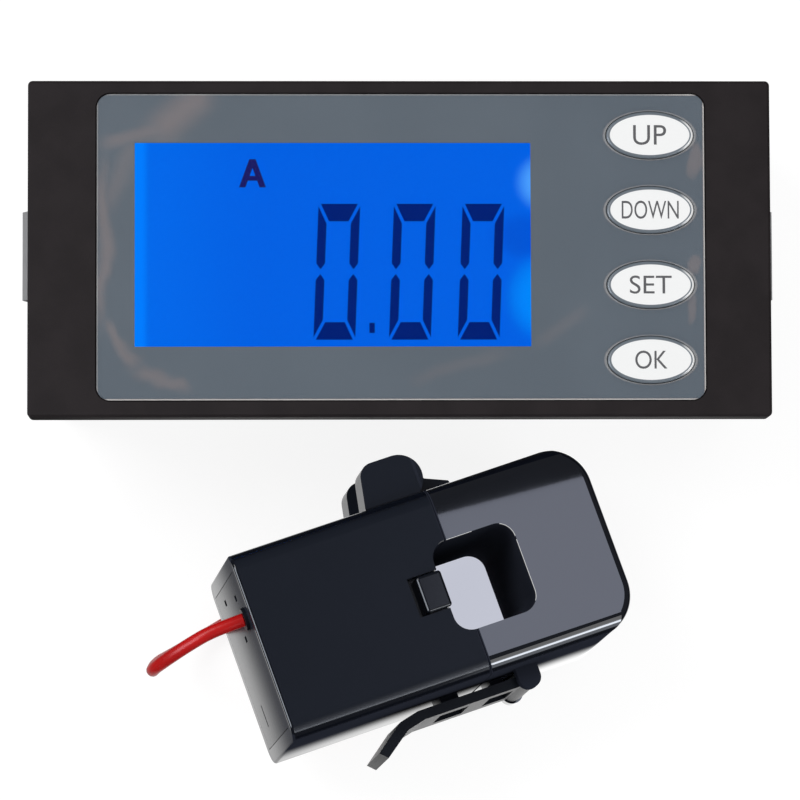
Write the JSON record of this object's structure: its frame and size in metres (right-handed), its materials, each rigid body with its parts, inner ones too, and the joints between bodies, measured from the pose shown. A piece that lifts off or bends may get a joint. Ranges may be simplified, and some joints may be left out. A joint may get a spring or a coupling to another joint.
{
  "type": "digital power meter",
  "caption": "Panel-mount digital power meter with a lit display and oval keys, side spring clips and rear screw terminals, with its hinged split-core current sensor on a red lead.",
  "frame": {"origin": "middle of the meter's flat back, which rests on the table", "axes": "+X to the right along the meter's frame, +Y up its front, +Z out of its front; the sensor lies on the same table below it, at minus Y"},
  "size_m": [0.1126, 0.1019, 0.0376],
  "materials": {
    "bezel_plastic": "matte near-black",
    "housing_plastic": "matte black",
    "label_grey": "printed, satin grey",
    "clear_film": "clear gloss film",
    "clear_lens": "clear polished",
    "lcd_blue": "lit blue",
    "lcd_ink": "dark navy segments",
    "key_white": "satin white",
    "spring_steel": "spring steel",
    "plated_steel": "zinc plated",
    "tin_brass": "tinned",
    "white_plastic": "white moulded",
    "clear_acrylic": "clear acrylic",
    "lamp_body": "lamp body",
    "pink_rubber": "layered rubber",
    "board_green": "glass-fibre board",
    "chip_black": "moulded black",
    "switch_black": "moulded black",
    "ferrite": "dull dark ferrite",
    "winding_yellow": "yellow tape over copper",
    "capacitor_blue": "sleeved can",
    "fuse_ceramic": "white ceramic tube",
    "disc_blue": "coated disc",
    "block_plastic": "moulded green",
    "sensor_black": "polished black",
    "sensor_end": "satin black",
    "strap_black": "satin black",
    "lead_red": "soft red insulation",
    "tie_black": "nylon",
    "copper": "enamelled copper wire"
  },
  "bodies": {
    "meter_and_sensor_base": {"back_cover": "housing_plastic", "backlight_lamps": "lamp_body", "base_core": "ferrite", "bezel": "bezel_plastic", "board_chips": "chip_black", "board_header": "chip_black", "board_screws": "plated_steel", "burden_board": "board_green", "capacitors": "capacitor_blue", "case_screws": "plated_steel", "clip_pins": "spring_steel", "coil_tie": "tie_black", "display_frame": "white_plastic", "display_glass": "lcd_blue", "display_lens": "clear_lens", "display_segments": "lcd_ink", "elastomer_strips": "pink_rubber", "front_label": "label_grey", "fuse": "fuse_ceramic", "hinge_pin": "plated_steel", "housing": "housing_plastic", "lead_coil": "lead_red", "lead_ferrule": "tin_brass", "lead_grommet": "strap_black", "light_guide": "clear_acrylic", "light_sheets": "white_plastic", "main_board": "board_green", "power_board": "board_green", "protective_film": "clear_film", "sensor_base_shell": "sensor_black", "sensor_bobbin": "white_plastic", "sensor_end_plate": "sensor_end", "sensor_lead": "lead_red", "sensor_winding": "copper", "surge_disc": "disc_blue", "tact_switches": "switch_black", "terminal_bars": "tin_brass", "terminal_block": "block_plastic", "transformer_core": "ferrite", "transformer_winding": "winding_yellow", "window_tongue": "sensor_black"},
    "key_up_body": {"key_up": "key_white"},
    "key_down_body": {"key_down": "key_white"},
    "key_set_body": {"key_set": "key_white"},
    "key_ok_body": {"key_ok": "key_white"},
    "left_clip_body": {"left_clip": "spring_steel"},
    "right_clip_body": {"right_clip": "spring_steel"},
    "screw_1_body": {"terminal_screw_1": "plated_steel"},
    "cage_1_body": {"clamp_cage_1": "tin_brass"},
    "screw_2_body": {"terminal_screw_2": "plated_steel"},
    "cage_2_body": {"clamp_cage_2": "tin_brass"},
    "screw_3_body": {"terminal_screw_3": "plated_steel"},
    "cage_3_body": {"clamp_cage_3": "tin_brass"},
    "screw_4_body": {"terminal_screw_4": "plated_steel"},
    "cage_4_body": {"clamp_cage_4": "tin_brass"},
    "sensor_cap": {"sensor_cap_shell": "sensor_black", "cap_core": "ferrite", "core_spring": "spring_steel", "latch_pin": "plated_steel"},
    "strap_body": {"latch_strap": "strap_black"}
  },
  "joints": [
    {"name": "key_up_press", "type": "slide", "parent": "meter_and_sensor_base", "child": "key_up_body", "axis": [0, 0, -1], "range_m": [0, 0.0003], "stiffness_N_per_m": 1500, "springref_m": -0.0005},
    {"name": "key_down_press", "type": "slide", "parent": "meter_and_sensor_base", "child": "key_down_body", "axis": [0, 0, -1], "range_m": [0, 0.0003], "stiffness_N_per_m": 1500, "springref_m": -0.0005},
    {"name": "key_set_press", "type": "slide", "parent": "meter_and_sensor_base", "child": "key_set_body", "axis": [0, 0, -1], "range_m": [0, 0.0003], "stiffness_N_per_m": 1500, "springref_m": -0.0005},
    {"name": "key_ok_press", "type": "slide", "parent": "meter_and_sensor_base", "child": "key_ok_body", "axis": [0, 0, -1], "range_m": [0, 0.0003], "stiffness_N_per_m": 1500, "springref_m": -0.0005},
    {"name": "left_clip_flex", "type": "hinge", "parent": "meter_and_sensor_base", "child": "left_clip_body", "pos_m": [-0.0506, 0, 0.0042], "axis": [0, 1, 0], "range_deg": [0, 12], "stiffness_Nm_per_rad": 0.5, "springref_deg": -2.86},
    {"name": "right_clip_flex", "type": "hinge", "parent": "meter_and_sensor_base", "child": "right_clip_body", "pos_m": [0.0506, 0, 0.0042], "axis": [0, -1, 0], "range_deg": [0, 12], "stiffness_Nm_per_rad": 0.5, "springref_deg": -2.86},
    {"name": "screw_1_turn", "type": "hinge", "parent": "meter_and_sensor_base", "child": "screw_1_body", "pos_m": [-0.01143, 0.0159, 0.0008], "axis": [0, 0, 1], "range_deg": [0, 1728.01]},
    {"name": "cage_1_lift", "type": "slide", "parent": "meter_and_sensor_base", "child": "cage_1_body", "axis": [0, 0, -1], "range_m": [0, 0.0024]},
    {"name": "screw_2_turn", "type": "hinge", "parent": "meter_and_sensor_base", "child": "screw_2_body", "pos_m": [-0.00381, 0.0159, 0.0008], "axis": [0, 0, 1], "range_deg": [0, 1728.01]},
    {"name": "cage_2_lift", "type": "slide", "parent": "meter_and_sensor_base", "child": "cage_2_body", "axis": [0, 0, -1], "range_m": [0, 0.0024]},
    {"name": "screw_3_turn", "type": "hinge", "parent": "meter_and_sensor_base", "child": "screw_3_body", "pos_m": [0.00381, 0.0159, 0.0008], "axis": [0, 0, 1], "range_deg": [0, 1728.01]},
    {"name": "cage_3_lift", "type": "slide", "parent": "meter_and_sensor_base", "child": "cage_3_body", "axis": [0, 0, -1], "range_m": [0, 0.0024]},
    {"name": "screw_4_turn", "type": "hinge", "parent": "meter_and_sensor_base", "child": "screw_4_body", "pos_m": [0.01143, 0.0159, 0.0008], "axis": [0, 0, 1], "range_deg": [0, 1728.01]},
    {"name": "cage_4_lift", "type": "slide", "parent": "meter_and_sensor_base", "child": "cage_4_body", "axis": [0, 0, -1], "range_m": [0, 0.0024]},
    {"name": "sensor_hinge", "type": "hinge", "parent": "meter_and_sensor_base", "child": "sensor_cap", "pos_m": [-0.00143, -0.03539, 0.01728], "axis": [0.1168, 0.13, 0.9846], "range_deg": [0, 10]},
    {"name": "strap_lift", "type": "hinge", "parent": "sensor_cap", "child": "strap_body", "pos_m": [0.01802, -0.06439, 0.01768], "axis": [0.1168, 0.13, 0.9846], "range_deg": [0, 25]}
  ],
  "couplings": [
    {"joint": "screw_1_turn", "follows": "cage_1_lift", "rad_per_m": 12566},
    {"joint": "screw_2_turn", "follows": "cage_2_lift", "rad_per_m": 12566},
    {"joint": "screw_3_turn", "follows": "cage_3_lift", "rad_per_m": 12566},
    {"joint": "screw_4_turn", "follows": "cage_4_lift", "rad_per_m": 12566},
    {"joint": "strap_lift", "follows": "sensor_hinge", "ratio": 2.5}
  ]
}
